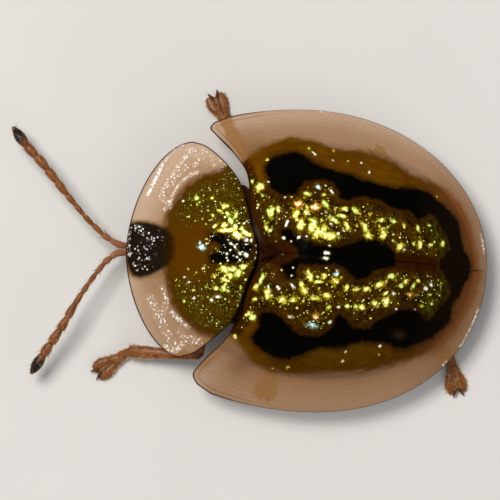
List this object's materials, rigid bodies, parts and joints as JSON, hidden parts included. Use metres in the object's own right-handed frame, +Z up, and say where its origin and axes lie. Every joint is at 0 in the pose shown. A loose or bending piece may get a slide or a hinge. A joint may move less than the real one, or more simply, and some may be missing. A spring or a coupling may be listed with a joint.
{
  "type": "tortoise beetle",
  "caption": "Still, life-size golden tortoise beetle with clear shell margins, standing with one front leg stretched ahead and its antennae spread.",
  "frame": {"origin": "on the floor, under the middle of the length from the antenna tips to the tail, on the body's middle line", "axes": "-X the way the head points, +Y towards the beetle's right side, +Z up, the floor at z = 0"},
  "size_m": [0.0066, 0.0044, 0.002],
  "materials": {
    "gilded_shell": "clear, pitted cuticle with olive gold flecks, black ring and see-through margins",
    "scutellum_brown": "smooth red-brown cuticle",
    "dark_body": "fine-grained black cuticle",
    "eye_black": "glossy, faceted",
    "antenna_brown": "downy brown, darker at the tip",
    "amber_leg": "translucent amber cuticle with short pale hairs"
  },
  "bodies": {
    "root": {"head": "dark_body", "prothorax": "dark_body", "thorax": "dark_body", "abdomen": "dark_body", "scutellum": "scutellum_brown", "pronotum": "gilded_shell", "elytron_left": "gilded_shell", "elytron_right": "gilded_shell", "eye_left": "eye_black", "eye_right": "eye_black", "antenna_left": "antenna_brown", "antenna_right": "antenna_brown", "femur_front_left": "amber_leg", "tibia_front_left": "amber_leg", "tarsus_front_left": "amber_leg", "femur_front_right": "amber_leg", "tibia_front_right": "amber_leg", "tarsus_front_right": "amber_leg", "femur_mid_left": "amber_leg", "tibia_mid_left": "amber_leg", "tarsus_mid_left": "amber_leg", "femur_mid_right": "amber_leg", "tibia_mid_right": "amber_leg", "tarsus_mid_right": "amber_leg", "femur_hind_left": "amber_leg", "tibia_hind_left": "amber_leg", "tarsus_hind_left": "amber_leg", "femur_hind_right": "amber_leg", "tibia_hind_right": "amber_leg", "tarsus_hind_right": "amber_leg"}
  },
  "joints": []
}
